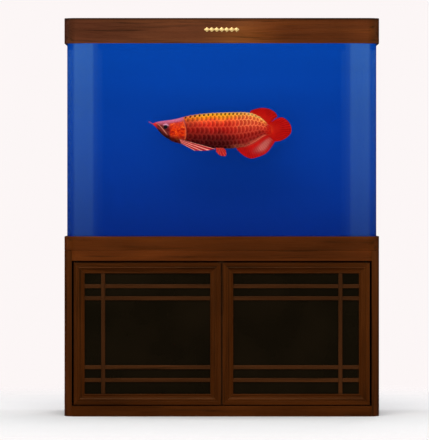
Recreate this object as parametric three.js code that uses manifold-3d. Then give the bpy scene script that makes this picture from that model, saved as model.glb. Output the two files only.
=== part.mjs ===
// Bent-glass aquarium on a two-door cabinet, with a lift-off hood that holds the lamp and the filter trough.
// Millimetres, +Z up. The origin is on the floor, at the middle of the footprint, and the front faces -Y.
import * as THREE from "three";
import { mergeVertices } from "three/addons/utils/BufferGeometryUtils.js";
import Module from "manifold-3d";

const wasm = await Module();
wasm.setup();

// ---------------------------------------------------------------- driving dimensions
const WIDTH = 1200;
const DEPTH = 500;
const HEIGHT = 1516;
const HALF = WIDTH / 2;
const FRONT = -DEPTH / 2;
const BACK = DEPTH / 2;
const CORNER = 45; // plan radius of the wooden front corners
const GAP = 0.5; // between pieces that touch
const RUNNING = 0.1; // between a shaft and the bore it turns in

const STAND_HEIGHT = 685; // to the top of the cornice
const CORNICE_HEIGHT = 53;
const CORNICE_THICK = 7;
const CARCASS_TOP = STAND_HEIGHT - CORNICE_HEIGHT;
const POST_WIDTH = 29;
const POST_DEPTH = 60;
const RAIL_DEPTH = 28;
const PLINTH_HEIGHT = 40;
const TOP_RAIL_HEIGHT = 40;
const BOARD = 18;
const TOP_BOARD = 28;
const BACK_BOARD = 9;
const HOSE_HOLE_RADIUS = 30;
const HOSE_HOLE = { x: 250, z: 450 };

const DOOR_SIDE_GAP = 7.5;
const DOOR_TOP_GAP = 7;
const DOOR_FOOT_GAP = 4;
const DOOR_MIDDLE_GAP = 5;
const DOOR_THICK = 20;
const DOOR_RECESS = 4; // behind the face of the cabinet
const FRAME_WIDTH = 41;
const PANEL_THICK = 4;
const BAR_WIDTH = 15.5;
const BAR_THICK = 6;
const BAR_INSET = 63; // hinge side of the opening to the upright bar
const BAR_ROWS = { top: [41, 87], foot: [45, 94] }; // from the top and from the bottom of the opening
const PIN_RADIUS = 4;
const PIN_INSET = 14; // door's hinge edge to the pin's axis
const PIN_BITE = 8;

const GLASS = 10;
const BASE_GLASS = 12;
const GLASS_HALF = 592;
const GLASS_FRONT = -242;
const GLASS_BACK = 240;
const GLASS_CORNER = 105;
const GLASS_TOP = 1458;
const BRACE_THICK = 8;
const BRACE_TOP = 1451;
const MAT_THICK = 4.5;

const HOOD_HEIGHT = 96;
const HOOD_WALL = 7;
const LEDGE = 15;
const LID_THICK = 12;
const LID_RECESS = 4; // below the hood's rim, so that the hinge barrels stay under it
const HINGE_Y = 200;
const KNUCKLE_RADIUS = 4;

const ARC_STEPS = 10;

// ---------------------------------------------------------------- materials
const paint = (color, roughness, metalness = 0, extra = {}) =>
  new THREE.MeshStandardMaterial({ color, roughness, metalness, ...extra });
const WOOD = paint(0x552709, 0.45);
const HOOD_WOOD = paint(0x633619, 0.4);
const BARE_BOARD = paint(0x3a2413, 0.7);
const PANEL_BLACK = paint(0x110c06, 0.3);
const CLEAR_GLASS = paint(0xd8ecf0, 0.03, 0, { transparent: true, opacity: 0.25 });
const BLUE_FILM = paint(0x05399a, 0.5);
const SILICONE = paint(0x0c0f14, 0.5);
const FOAM = paint(0x151515, 0.95);
const STEEL = paint(0xb9bcc0, 0.3, 1);
const ALUMINIUM = paint(0xc6c9cc, 0.35, 1);
const OPAL = paint(0xf4f6f8, 0.5);
const BLACK_PLASTIC = paint(0x16181a, 0.45);
const GREY_PLASTIC = paint(0x8d9296, 0.5);
const WOOL = paint(0xeceae2, 0.95);
const SPONGE = paint(0x23282e, 0.95);
const RED_SCALES = paint(0xc8321a, 0.35);
const GOLD = paint(0xc9a35a, 0.3, 1);

// ---------------------------------------------------------------- solids
function toSolid(geometry) {
  const bare = geometry.clone();
  bare.deleteAttribute("normal");
  bare.deleteAttribute("uv");
  const merged = mergeVertices(bare, 1e-3);
  return new wasm.Manifold(
    new wasm.Mesh({
      numProp: 3,
      vertProperties: merged.attributes.position.array,
      triVerts: new Uint32Array(merged.index.array),
    }),
  );
}

function toGeometry(solid) {
  const mesh = solid.getMesh();
  return new THREE.BufferGeometry()
    .setAttribute("position", new THREE.BufferAttribute(mesh.vertProperties, 3))
    .setIndex(new THREE.BufferAttribute(mesh.triVerts, 1));
}

const cut = (from, ...tools) =>
  toGeometry(tools.reduce((left, tool) => left.subtract(toSolid(tool)), toSolid(from)));
const join = (...pieces) => toGeometry(pieces.map(toSolid).reduce((all, piece) => all.add(piece)));
const overlap = (one, other) => toGeometry(toSolid(one).intersect(toSolid(other)));

// Sends every corner of a piece through `place`. A mirroring `place` needs its faces turned round.
function mapped(geometry, place, mirrors) {
  const whole = geometry.index ? geometry.toNonIndexed() : geometry;
  const spot = whole.attributes.position;
  const corners = Array.from({ length: spot.count }, (_, i) =>
    place(spot.getX(i), spot.getY(i), spot.getZ(i)),
  );
  corners.forEach((_, i) => {
    const turned = mirrors ? i + [0, 1, -1][i % 3] : i;
    spot.setXYZ(i, ...corners[turned]);
  });
  return whole;
}

const block = (x, y, z) =>
  new THREE.BoxGeometry(x[1] - x[0], y[1] - y[0], z[1] - z[0]).translate(
    (x[0] + x[1]) / 2,
    (y[0] + y[1]) / 2,
    (z[0] + z[1]) / 2,
  );

const prism = (shape, low, high) =>
  new THREE.ExtrudeGeometry(shape, {
    depth: high - low,
    bevelEnabled: false,
    curveSegments: ARC_STEPS,
  }).translate(0, 0, low);

// A round bar along the given axis, from low to high on it, centred on the other two coordinates.
function rod(axis, radius, low, high, centre, sides = 20) {
  const bar = new THREE.CylinderGeometry(radius, radius, high - low, sides);
  const middle = (low + high) / 2;
  if (axis === "x") return bar.rotateZ(Math.PI / 2).translate(middle, centre[0], centre[1]);
  if (axis === "y") return bar.translate(centre[0], middle, centre[1]);
  return bar.rotateX(Math.PI / 2).translate(centre[0], centre[1], middle);
}

// A plan outline that is square at the back and has rounded front corners.
function plan(half, front, back, radius) {
  const shape = new THREE.Shape();
  shape.moveTo(half, back);
  shape.lineTo(-half, back);
  roundFront(shape, { half, front, radius });
  return shape;
}

// A band that runs down one side, round the front and up the other side, between two such outlines.
function wrap(outer, inner, back) {
  const shape = new THREE.Shape();
  shape.moveTo(-inner.half, back);
  shape.lineTo(-outer.half, back);
  roundFront(shape, outer);
  shape.lineTo(outer.half, back);
  shape.lineTo(inner.half, back);
  roundFront(shape, inner, true);
  return shape;
}

// Draws the front of an outline from left to right, or from right to left.
function roundFront(shape, { half, front, radius }, backwards = false) {
  const middle = 1.5 * Math.PI;
  const left = [-half + radius, front + radius, radius, Math.PI, middle];
  const right = [half - radius, front + radius, radius, middle, 2 * Math.PI];
  const [first, second] = backwards ? [right, left] : [left, right];
  for (const [x, y, r, from, to] of [first, second]) {
    shape.absarc(x, y, r, backwards ? to : from, backwards ? from : to, backwards);
  }
}

function polygon(points) {
  const shape = new THREE.Shape();
  shape.setFromPoints(points.map(([x, y]) => new THREE.Vector2(x, y)));
  return shape;
}

function part(group, name, geometry, material, at = [0, 0, 0]) {
  const mesh = new THREE.Mesh(geometry, material);
  mesh.name = name;
  mesh.position.set(...at);
  group.add(mesh);
  return mesh;
}

// Adds a left and a right copy of a piece that is drawn for the right-hand side.
function pair(group, name, geometry, material) {
  part(group, `${name}_right`, geometry, material);
  part(group, `${name}_left`, geometry, material).scale.x = -1;
}

// ---------------------------------------------------------------- cabinet
const PIN_X = HALF - POST_WIDTH - DOOR_SIDE_GAP - PIN_INSET;
const PIN_Y = FRONT + DOOR_RECESS + DOOR_THICK / 2;
const DOOR_BOTTOM = PLINTH_HEIGHT + DOOR_FOOT_GAP;
const DOOR_TOP = CARCASS_TOP - TOP_RAIL_HEIGHT - DOOR_TOP_GAP;
const FOOTPRINT = plan(HALF, FRONT, BACK, CORNER);

function pinHoles(low, high) {
  return [-PIN_X, PIN_X].map((x) => rod("z", PIN_RADIUS + RUNNING, low, high, [x, PIN_Y]));
}

function cabinet() {
  const group = new THREE.Group();
  const top = CARCASS_TOP - GAP;
  const postEdge = HALF - POST_WIDTH;
  const railHalf = postEdge - GAP;
  const railBack = FRONT + RAIL_DEPTH;
  const postBack = FRONT + POST_DEPTH;
  const railFoot = CARCASS_TOP - TOP_RAIL_HEIGHT;
  const panelFace = BACK - BACK_BOARD;
  const column = (x, y, low, high) => overlap(block(x, y, [low, high]), prism(FOOTPRINT, low - 1, high + 1));

  pair(group, "stand_post", column([postEdge, HALF], [FRONT, postBack], 0, top), WOOD);
  const rail = column([-railHalf, railHalf], [FRONT, railBack], railFoot, top);
  part(group, "stand_top_rail", cut(rail, ...pinHoles(railFoot - 1, railFoot + PIN_BITE + 1)), WOOD);
  const plinth = column([-railHalf, railHalf], [FRONT, railBack], 0, PLINTH_HEIGHT);
  const plinthHoles = pinHoles(PLINTH_HEIGHT - PIN_BITE - 1, PLINTH_HEIGHT + 1);
  part(group, "stand_plinth", cut(plinth, ...plinthHoles), WOOD);
  pair(group, "stand_side_panel", block([HALF - BOARD, HALF], [postBack + GAP, BACK], [0, top]), WOOD);

  const wide = HALF - BOARD - GAP;
  const back = block([-wide, wide], [panelFace, BACK], [0, top]);
  const holes = [-HOSE_HOLE.x, HOSE_HOLE.x].map((x) =>
    rod("y", HOSE_HOLE_RADIUS, panelFace - 1, BACK + 1, [x, HOSE_HOLE.z], 28),
  );
  part(group, "stand_back_panel", cut(back, ...holes), BARE_BOARD);

  const floorFront = railBack + GAP;
  const notch = postBack + GAP;
  const floor = polygon([
    [-railHalf, floorFront],
    [railHalf, floorFront],
    [railHalf, notch],
    [wide, notch],
    [wide, panelFace - GAP],
    [-wide, panelFace - GAP],
    [-wide, notch],
    [-railHalf, notch],
  ]);
  part(group, "stand_floor_board", prism(floor, PLINTH_HEIGHT - BOARD, PLINTH_HEIGHT), BARE_BOARD);
  const divider = block([-BOARD / 2, BOARD / 2], [floorFront, panelFace - GAP], [PLINTH_HEIGHT + GAP, top]);
  part(group, "stand_divider", divider, BARE_BOARD);

  const inset = CORNICE_THICK + GAP;
  const lid = plan(HALF - inset, FRONT + inset, BACK, GLASS_CORNER + GAP);
  part(group, "stand_top_board", prism(lid, CARCASS_TOP, CARCASS_TOP + TOP_BOARD), BARE_BOARD);
  const outer = { half: HALF, front: FRONT, radius: CORNER };
  const inner = { half: HALF - CORNICE_THICK, front: FRONT + CORNICE_THICK, radius: GLASS_CORNER };
  part(group, "stand_cornice", prism(wrap(outer, inner, BACK), CARCASS_TOP, STAND_HEIGHT), WOOD);
  return group;
}

// ---------------------------------------------------------------- touch latches on the divider
const LATCH = { width: 22, height: 24, depth: 62, z: 540, travel: 3.5 };

function latches() {
  const group = new THREE.Group();
  const doorBack = FRONT + DOOR_RECESS + DOOR_THICK;
  const head = [doorBack + 0.4, doorBack + 3.4];
  const bodyFront = head[1] + LATCH.travel + GAP;
  const x = (BOARD + LATCH.width) / 2 + GAP;
  const axis = [x, LATCH.z];
  const body = block(
    [x - LATCH.width / 2, x + LATCH.width / 2],
    [bodyFront, bodyFront + LATCH.depth],
    [LATCH.z - LATCH.height / 2, LATCH.z + LATCH.height / 2],
  );
  const bore = rod("y", 5 + RUNNING, bodyFront - 1, bodyFront + 45, axis);
  pair(group, "touch_latch_body", cut(body, bore), GREY_PLASTIC);
  const plunger = join(rod("y", 5, head[1] - 1, bodyFront + 38, axis), rod("y", 7, ...head, axis));
  pair(group, "touch_latch_plunger", plunger, STEEL);
  return group;
}

// ---------------------------------------------------------------- doors, drawn about the pin's axis
// Section of a frame member: across from its outer edge, and forward from its back face.
const FRAME_SECTION = [
  [0, 0],
  [0, 17],
  [0.8, 18.8],
  [2.5, 19.5],
  [14, 19.5],
  [15.5, 17.7],
  [17, 17.7],
  [18.5, 19.4],
  [20.5, 20],
  [22.5, 19.2],
  [31, 13.6],
  [32.5, 12.4],
  [34.5, 12.4],
  [36, 14],
  [39.5, 14],
  [FRAME_WIDTH, 12.6],
  [FRAME_WIDTH, 7.5],
  [30, 7.5],
  [30, 0],
];
const PANEL_BACK = 2; // door's back face to the back of its panel

// A mitred member: `place` puts (across, forward, along) where the member lies in the door.
function mitred(long, place, mirrors) {
  const shape = polygon(FRAME_SECTION);
  const member = new THREE.ExtrudeGeometry(shape, { depth: 1, bevelEnabled: false });
  const ends = (across, end) => (end > 0.5 ? long - across - GAP / 2 : across + GAP / 2);
  return mapped(member, (across, forward, end) => place(across, forward, ends(across, end)), mirrors);
}

function door(name) {
  const group = new THREE.Group();
  const wide = HALF - POST_WIDTH - DOOR_SIDE_GAP - DOOR_MIDDLE_GAP / 2;
  const tall = DOOR_TOP - DOOR_BOTTOM;
  const hinge = PIN_INSET; // x of the hinge edge: x runs towards it, and y = 0 is the pin's axis
  const free = PIN_INSET - wide;
  const rear = DOOR_THICK / 2;

  const hingeStile = mitred(tall, (a, f, l) => [hinge - a, rear - f, DOOR_BOTTOM + l], false);
  const freeStile = mitred(tall, (a, f, l) => [free + a, rear - f, DOOR_BOTTOM + l], true);
  const foot = mitred(wide, (a, f, l) => [free + l, rear - f, DOOR_BOTTOM + a], false);
  const head = mitred(wide, (a, f, l) => [free + l, rear - f, DOOR_TOP - a], true);
  const pinHole = (z) => rod("z", PIN_RADIUS + 0.4, z - PIN_BITE - 1, z + PIN_BITE + 1, [0, 0]);
  part(group, `${name}_hinge_stile`, cut(hingeStile, pinHole(DOOR_BOTTOM), pinHole(DOOR_TOP)), WOOD);
  part(group, `${name}_meeting_stile`, freeStile, WOOD);
  part(group, `${name}_bottom_rail`, cut(foot, pinHole(DOOR_BOTTOM)), WOOD);
  part(group, `${name}_top_rail`, cut(head, pinHole(DOOR_TOP)), WOOD);

  const lap = 30 + GAP; // the panel lies in the frame's rebate
  const panelFront = rear - PANEL_BACK - PANEL_THICK;
  const panel = block(
    [free + lap, hinge - lap],
    [panelFront, rear - PANEL_BACK],
    [DOOR_BOTTOM + lap, DOOR_TOP - lap],
  );
  part(group, `${name}_panel`, panel, PANEL_BLACK);

  const barY = [panelFront - GAP - BAR_THICK, panelFront - GAP];
  const inner = FRAME_WIDTH + GAP;
  const openX = [free + inner, hinge - inner];
  const openZ = [DOOR_BOTTOM + inner, DOOR_TOP - inner];
  const uprightX = hinge - FRAME_WIDTH - BAR_INSET;
  const rows = [
    ...BAR_ROWS.foot.map((row) => DOOR_BOTTOM + FRAME_WIDTH + row),
    ...BAR_ROWS.top.map((row) => DOOR_TOP - FRAME_WIDTH - row - BAR_WIDTH),
  ];
  const lattice = join(
    block([uprightX - BAR_WIDTH, uprightX], barY, openZ),
    ...rows.map((row) => block(openX, barY, [row, row + BAR_WIDTH])),
  );
  part(group, `${name}_lattice`, lattice, WOOD);

  const pin = (low, high) => rod("z", PIN_RADIUS, low, high, [0, 0]);
  const pinTop = DOOR_TOP + DOOR_TOP_GAP + PIN_BITE;
  const pinFoot = DOOR_BOTTOM - DOOR_FOOT_GAP - PIN_BITE;
  part(group, `${name}_pin_top`, pin(DOOR_TOP - PIN_BITE, pinTop), STEEL);
  part(group, `${name}_pin_bottom`, pin(pinFoot, DOOR_BOTTOM + PIN_BITE), STEEL);
  return group;
}

function doors() {
  const group = new THREE.Group();
  const right = door("door_right");
  right.position.set(PIN_X, PIN_Y, 0);
  const left = door("door_left");
  left.position.set(-PIN_X, PIN_Y, 0);
  left.scale.x = -1;
  group.add(right, left);
  return group;
}

// ---------------------------------------------------------------- tank
const MAT_BASE = CARCASS_TOP + TOP_BOARD + GAP;
const TANK_BASE = MAT_BASE + MAT_THICK + GAP;
const TANK_INSIDE = GLASS_HALF - GLASS;
const INSIDE_FRONT = GLASS_FRONT + GLASS;
const INSIDE_BACK = GLASS_BACK - GLASS;

function tank() {
  const group = new THREE.Group();
  const floorTop = TANK_BASE + BASE_GLASS;
  const innerCorner = GLASS_CORNER - GLASS;

  const mat = plan(GLASS_HALF - 4, GLASS_FRONT + 4, GLASS_BACK - 2, GLASS_CORNER);
  part(group, "base_foam_mat", prism(mat, MAT_BASE, MAT_BASE + MAT_THICK), FOAM);

  const outer = { half: GLASS_HALF, front: GLASS_FRONT, radius: GLASS_CORNER };
  const inner = { half: TANK_INSIDE, front: INSIDE_FRONT, radius: innerCorner };
  part(group, "glass_bent_front", prism(wrap(outer, inner, GLASS_BACK), TANK_BASE, GLASS_TOP), CLEAR_GLASS);
  const width = [GAP - TANK_INSIDE, TANK_INSIDE - GAP];
  const rear = block(width, [INSIDE_BACK, GLASS_BACK], [TANK_BASE, GLASS_TOP]);
  part(group, "glass_rear", rear, CLEAR_GLASS);
  const floor = plan(TANK_INSIDE - GAP, INSIDE_FRONT + GAP, INSIDE_BACK - GAP, innerCorner);
  part(group, "glass_base", prism(floor, TANK_BASE, floorTop), CLEAR_GLASS);

  const bead = 8;
  const braceZ = [BRACE_TOP - BRACE_THICK, BRACE_TOP];
  const frontHalf = GLASS_HALF - GLASS_CORNER - GLASS;
  const rearHalf = TANK_INSIDE - bead - 2 * GAP;
  const frontBrace = block([-frontHalf, frontHalf], [INSIDE_FRONT + GAP, INSIDE_FRONT + 60], braceZ);
  part(group, "glass_brace_front", frontBrace, CLEAR_GLASS);
  const rearBrace = block([-rearHalf, rearHalf], [INSIDE_BACK - 80, INSIDE_BACK - GAP], braceZ);
  part(group, "glass_brace_rear", rearBrace, CLEAR_GLASS);

  // One continuous silicone bead: round the floor and up the two rear corners.
  const open = bead - 2;
  const bound = plan(TANK_INSIDE - GAP, INSIDE_FRONT + GAP, INSIDE_BACK - GAP, innerCorner);
  bound.holes.push(plan(TANK_INSIDE - open, INSIDE_FRONT + open, INSIDE_BACK - open, innerCorner - open));
  const ring = prism(bound, floorTop + GAP, floorTop + bead);
  const cornerBead = (side) => {
    const edge = side * (TANK_INSIDE - GAP);
    const points = [
      [edge, INSIDE_BACK - GAP],
      [edge, INSIDE_BACK - GAP - bead],
      [edge - side * bead, INSIDE_BACK - GAP],
    ];
    return prism(polygon(points), floorTop + 1, BRACE_TOP - BRACE_THICK - 1);
  };
  part(group, "silicone_bead", join(ring, cornerBead(1), cornerBead(-1)), SILICONE);

  const filmY = [GLASS_BACK + GAP, GLASS_BACK + 2 * GAP];
  const film = block([2 - GLASS_HALF, GLASS_HALF - 2], filmY, [TANK_BASE + 1, GLASS_TOP - 4]);
  part(group, "backdrop_film", film, BLUE_FILM);
  return group;
}

// ---------------------------------------------------------------- hood
const HOOD_BASE = HEIGHT - HOOD_HEIGHT;
const HOOD_INSIDE = HALF - HOOD_WALL;
const LID_TOP = HEIGHT - LID_RECESS;
const LID_BASE = LID_TOP - LID_THICK;
const SEAT = KNUCKLE_RADIUS + GAP; // hinge axis to the wood on either side of it
const FINGER_NOTCH = 28; // reaches past the ledge under the lid's front edge
const LEAD_HOLE = { x: 440, z: 1470, width: 60, height: 18 };
const ORNAMENT = { diamonds: 7, pitch: 19, high: 9, neck: 1.8, z: 1472, deep: 2 };

// A row of linked diamonds, standing upright in the front of the hood.
function ornament(grow, deep) {
  const { diamonds, pitch, high, neck, z } = ORNAMENT;
  const end = (diamonds * pitch) / 2;
  const upper = [[-end - 3 * grow, 0]];
  for (let i = 0; i < diamonds; i += 1) {
    const left = i * pitch - end;
    upper.push([left + pitch / 2, high + 1.5 * grow]);
    if (i < diamonds - 1) upper.push([left + pitch, neck + 1.5 * grow]);
  }
  upper.push([end + 3 * grow, 0]);
  const lower = upper.slice(1, -1).map(([x, y]) => [x, -y]).reverse();
  return prism(polygon([...upper, ...lower]), -deep, 0).rotateX(Math.PI / 2).translate(0, FRONT, z);
}

function hood() {
  const group = new THREE.Group();
  const outer = { half: HALF, front: FRONT, radius: CORNER };
  const inner = { half: HOOD_INSIDE, front: FRONT + HOOD_WALL, radius: GLASS_CORNER + 1 };
  // The ledge stands on the rim of the glass, and carries the lids.
  const ledge = {
    half: HOOD_INSIDE - LEDGE,
    front: FRONT + HOOD_WALL + LEDGE,
    radius: GLASS_CORNER + 1 - LEDGE,
  };
  const wall = prism(wrap(outer, inner, BACK), HOOD_BASE, HEIGHT);
  const seat = { half: inner.half + 1, front: inner.front - 1, radius: inner.radius + 1 };
  const rim = prism(wrap(seat, ledge, GLASS_BACK - 15), GLASS_TOP + GAP, LID_BASE - GAP);
  const pocket = ornament(GAP, ORNAMENT.deep + GAP);
  part(group, "hood_fascia", cut(join(wall, rim), pocket), HOOD_WOOD);
  part(group, "hood_ornament", ornament(0, ORNAMENT.deep), GOLD);

  const panelY = [GLASS_BACK + 3 * GAP, BACK - 3];
  const panel = block([GAP - HOOD_INSIDE, HOOD_INSIDE - GAP], panelY, [HOOD_BASE, LID_BASE - GAP]);
  const leads = block(
    [LEAD_HOLE.x - LEAD_HOLE.width / 2, LEAD_HOLE.x + LEAD_HOLE.width / 2],
    [panelY[0] - 1, panelY[1] + 1],
    [LEAD_HOLE.z - LEAD_HOLE.height / 2, LEAD_HOLE.z + LEAD_HOLE.height / 2],
  );
  part(group, "hood_back_panel", cut(panel, leads), BARE_BOARD);
  const deck = block([GAP - HOOD_INSIDE, HOOD_INSIDE - GAP], [HINGE_Y + SEAT, BACK - 3], [LID_BASE, LID_TOP]);
  part(group, "hood_rear_deck", deck, HOOD_WOOD);
  return group;
}

function lids() {
  const group = new THREE.Group();
  const reach = HOOD_INSIDE - GAP;
  const front = FRONT + HOOD_WALL + GAP;
  const high = [LID_BASE - 1, LID_TOP + 1];
  const whole = prism(plan(reach, front, HINGE_Y - SEAT, GLASS_CORNER + GAP), LID_BASE, LID_TOP);
  const otherHalf = block([-HALF, 1.5], [FRONT, BACK], high);
  const notch = rod("z", FINGER_NOTCH, ...high, [reach / 2, front], 28);
  pair(group, "hood_lid", cut(whole, otherHalf, notch), HOOD_WOOD);
  return group;
}

// A long butt hinge: the fixed leaf carries the pin and the odd knuckles, each lid's leaf the even ones.
const KNUCKLE = { start: 25, long: 108 };

function lidHinges() {
  const group = new THREE.Group();
  const axis = [HINGE_Y, LID_TOP];
  const end = KNUCKLE.start + 5 * KNUCKLE.long;
  const startOf = (i) => KNUCKLE.start + i * KNUCKLE.long;
  const leaf = (x, y) => block(x, y, [LID_BASE + 1, LID_TOP - GAP]);
  const barrel = (i, radius, gap) => rod("x", radius, startOf(i) + gap, startOf(i + 1) - gap, axis, 16);
  const knuckle = (i) => barrel(i, KNUCKLE_RADIUS, GAP);
  const clear = (i) => barrel(i, KNUCKLE_RADIUS + GAP, 0);
  const near = 2.6;
  const far = KNUCKLE_RADIUS + 0.2;

  const movingLeaf = leaf([startOf(1) + GAP, startOf(4) - GAP], [HINGE_Y - far, HINGE_Y - near]);
  const bore = rod("x", 1.6 + RUNNING, KNUCKLE.start, end, axis, 16);
  const moving = cut(join(movingLeaf, knuckle(1), knuckle(3)), bore, clear(2));
  pair(group, "lid_hinge_leaf", moving, STEEL);

  const side = join(
    cut(leaf([-1, end], [HINGE_Y + near, HINGE_Y + far]), clear(1), clear(3)),
    ...[0, 2, 4].map(knuckle),
    rod("x", 1.6, KNUCKLE.start + 1, end - 1, axis, 16),
  );
  const solid = toSolid(side);
  part(group, "lid_hinge_fixed_leaf", toGeometry(solid.add(solid.mirror([1, 0, 0]))), STEEL);
  return group;
}

// ---------------------------------------------------------------- lamp
const LAMP = { y: -110, z: 1473, half: 516 };

function lamp() {
  const group = new THREE.Group();
  const reach = HOOD_INSIDE - LEDGE - GAP;
  const lugX = LAMP.half + 4;
  const barZ = [LID_BASE - 10, LID_BASE - 1];
  const bar = block([-reach, reach], [LAMP.y - 30, LAMP.y + 30], barZ);
  const lug = (side) => {
    const x = [side * lugX, side * (lugX + 6)].sort((a, b) => a - b);
    return block(x, [LAMP.y - 9, LAMP.y + 9], [LAMP.z - 9, barZ[0] + 1]);
  };
  const bore = rod("x", 3 + RUNNING, -lugX - 10, lugX + 10, [LAMP.y, LAMP.z]);
  part(group, "lamp_carrier", cut(join(bar, lug(1), lug(-1)), bore), ALUMINIUM);

  const swing = new THREE.Group();
  swing.position.set(0, LAMP.y, LAMP.z);
  const body = block([-LAMP.half, LAMP.half], [-22, 22], [-4, 7]);
  const stub = (side) => {
    const x = [side * (LAMP.half - 1), side * (lugX + 5)].sort((a, b) => a - b);
    return rod("x", 3, ...x, [0, 0]);
  };
  part(swing, "lamp_housing", join(body, stub(1), stub(-1)), ALUMINIUM);
  const strip = block([6 - LAMP.half, LAMP.half - 6], [-18, 18], [-8, -4 - GAP]);
  part(swing, "lamp_diffuser", strip, OPAL);
  group.add(swing);
  return group;
}

// ---------------------------------------------------------------- filter in the back of the hood
const TROUGH = { half: 560, front: 105, back: 226, base: BRACE_TOP + GAP, top: 1494, wall: 4, bulkhead: 388 };
const PUMP = { x: 500, y: 134 };
const TROUGH_FLOOR = TROUGH.base + TROUGH.wall;
const SUCTION_END = 1433; // just under the water, and hidden by the hood

function filter() {
  const group = new THREE.Group();
  const { half, front, back, base, top, wall, bulkhead } = TROUGH;
  const shell = block([-half, half], [front, back], [base, top]);
  const bay = (from, to) => block([from, to], [front + wall, back - wall], [TROUGH_FLOOR, top + 1]);
  const drains = Array.from({ length: 12 }, (_, i) =>
    rod("z", 5, base - 1, TROUGH_FLOOR + 1, [-520 + i * 76, front + 24], 10),
  );
  const suction = rod("z", 10, base - 1, TROUGH_FLOOR + 1, [PUMP.x, PUMP.y]);
  const weir = block(
    [bulkhead - wall - 1, bulkhead + 1],
    [front + 15, front + 65],
    [TROUGH_FLOOR + 18, top + 1],
  );
  const bays = [bay(wall - half, bulkhead - wall), bay(bulkhead, half - wall)];
  part(group, "filter_trough", cut(shell, ...bays, suction, weir, ...drains), BLACK_PLASTIC);

  const mediaX = [wall - half + 2, bulkhead - wall - 2];
  const mediaY = [front + wall + 1, back - wall - 1];
  part(group, "filter_sponge", block(mediaX, mediaY, [TROUGH_FLOOR + GAP, TROUGH_FLOOR + 12]), SPONGE);
  part(group, "filter_wool", block(mediaX, mediaY, [TROUGH_FLOOR + 12.5, TROUGH_FLOOR + 22]), WOOL);
  return group;
}

function pump() {
  const group = new THREE.Group();
  const floor = TROUGH_FLOOR;
  const centre = [PUMP.x, PUMP.y];
  const body = join(
    block([PUMP.x - 34, PUMP.x + 34], [PUMP.y - 24, PUMP.y + 24], [floor + GAP, floor + 19]),
    rod("z", 21, floor + 18, TROUGH.top - 1, centre, 28),
  );
  const hollows = [
    rod("z", 20, floor + 4, floor + 16, centre, 28),
    rod("z", 7, floor - 1, floor + 5, centre),
    rod("z", 1.6 + RUNNING, floor + 15, floor + 28, centre, 12),
    rod("x", 5.2, PUMP.x - 40, PUMP.x - 10, [PUMP.y, floor + 10], 14),
  ];
  part(group, "pump_body", cut(body, ...hollows), BLACK_PLASTIC);

  const vanes = Array.from({ length: 5 }, (_, i) =>
    block([1, 17], [-1.2, 1.2], [floor + 6.5, floor + 13]).rotateZ((i * 2 * Math.PI) / 5),
  );
  const impeller = join(
    rod("z", 17.5, floor + 12.5, floor + 14.8, [0, 0], 24),
    rod("z", 5, floor + 6.5, floor + 14, [0, 0], 16),
    rod("z", 1.6, floor + 14, floor + 26, [0, 0], 12),
    ...vanes,
  );
  part(group, "pump_impeller", impeller, GREY_PLASTIC, [PUMP.x, PUMP.y, 0]);

  // The suction pipe hangs from the trough's floor.
  const pipe = cut(
    join(
      rod("z", 9, SUCTION_END, floor - GAP, centre),
      rod("z", 13, TROUGH.base - 6, TROUGH.base - GAP, centre),
    ),
    rod("z", 6.5, SUCTION_END - 1, floor + 1, centre),
  );
  part(group, "suction_pipe", pipe, BLACK_PLASTIC);

  // The spray bar leaves the pump, climbs over the bulkhead and runs along over the filter wool.
  const low = floor + 10;
  const high = floor + 30;
  const bend = { x: 440, radius: 4.5 };
  const elbow = (z) => new THREE.SphereGeometry(bend.radius, 14, 10).translate(bend.x, PUMP.y, z);
  const sprayBar = join(
    rod("x", bend.radius, bend.x, PUMP.x - 26, [PUMP.y, low], 14),
    elbow(low),
    rod("z", bend.radius, low, high, [bend.x, PUMP.y], 14),
    elbow(high),
    rod("x", bend.radius, -500, bend.x, [PUMP.y, high], 14),
  );
  part(group, "spray_bar", sprayBar, GREY_PLASTIC);
  return group;
}

// ---------------------------------------------------------------- arowana
const FISH = { x: 0, y: 0, z: 1083 };

function fish() {
  const group = new THREE.Group();
  group.position.set(FISH.x, FISH.y, FISH.z);
  // Half-heights of the body from the snout to the root of the tail.
  const girth = [
    [0, -269],
    [10, -262],
    [32, -222],
    [51, -170],
    [65, -104],
    [70, -29],
    [68, 47],
    [57, 108],
    [38, 151],
    [24, 179],
    [0, 188],
  ];
  const profile = girth.map(([r, x]) => new THREE.Vector2(r, x));
  const trunk = new THREE.LatheGeometry(profile, 20).rotateZ(-Math.PI / 2).scale(1, 0.42, 1);
  const fin = (points) => prism(polygon(points), -2, 2).rotateX(Math.PI / 2);
  const dorsal = fin([[89, 37], [184, 18], [195, 51], [160, 82], [122, 76]]);
  const anal = fin([[66, -46], [177, -14], [195, -46], [141, -88], [104, -84]]);
  const tail = fin([
    [170, 9],
    [221, 46],
    [247, 45],
    [267, 14],
    [265, -14],
    [240, -42],
    [203, -42],
    [170, -17],
  ]);
  part(group, "arowana", join(trunk, dorsal, anal, tail), RED_SCALES);
  return group;
}

const aquarium = new THREE.Group();
aquarium.add(cabinet(), latches(), doors(), tank(), hood(), lids());
aquarium.add(lidHinges(), lamp(), filter(), pump(), fish());

export default aquarium;
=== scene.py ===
"""The looks of a bent-glass aquarium on its cabinet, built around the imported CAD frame."""

import math

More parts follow.
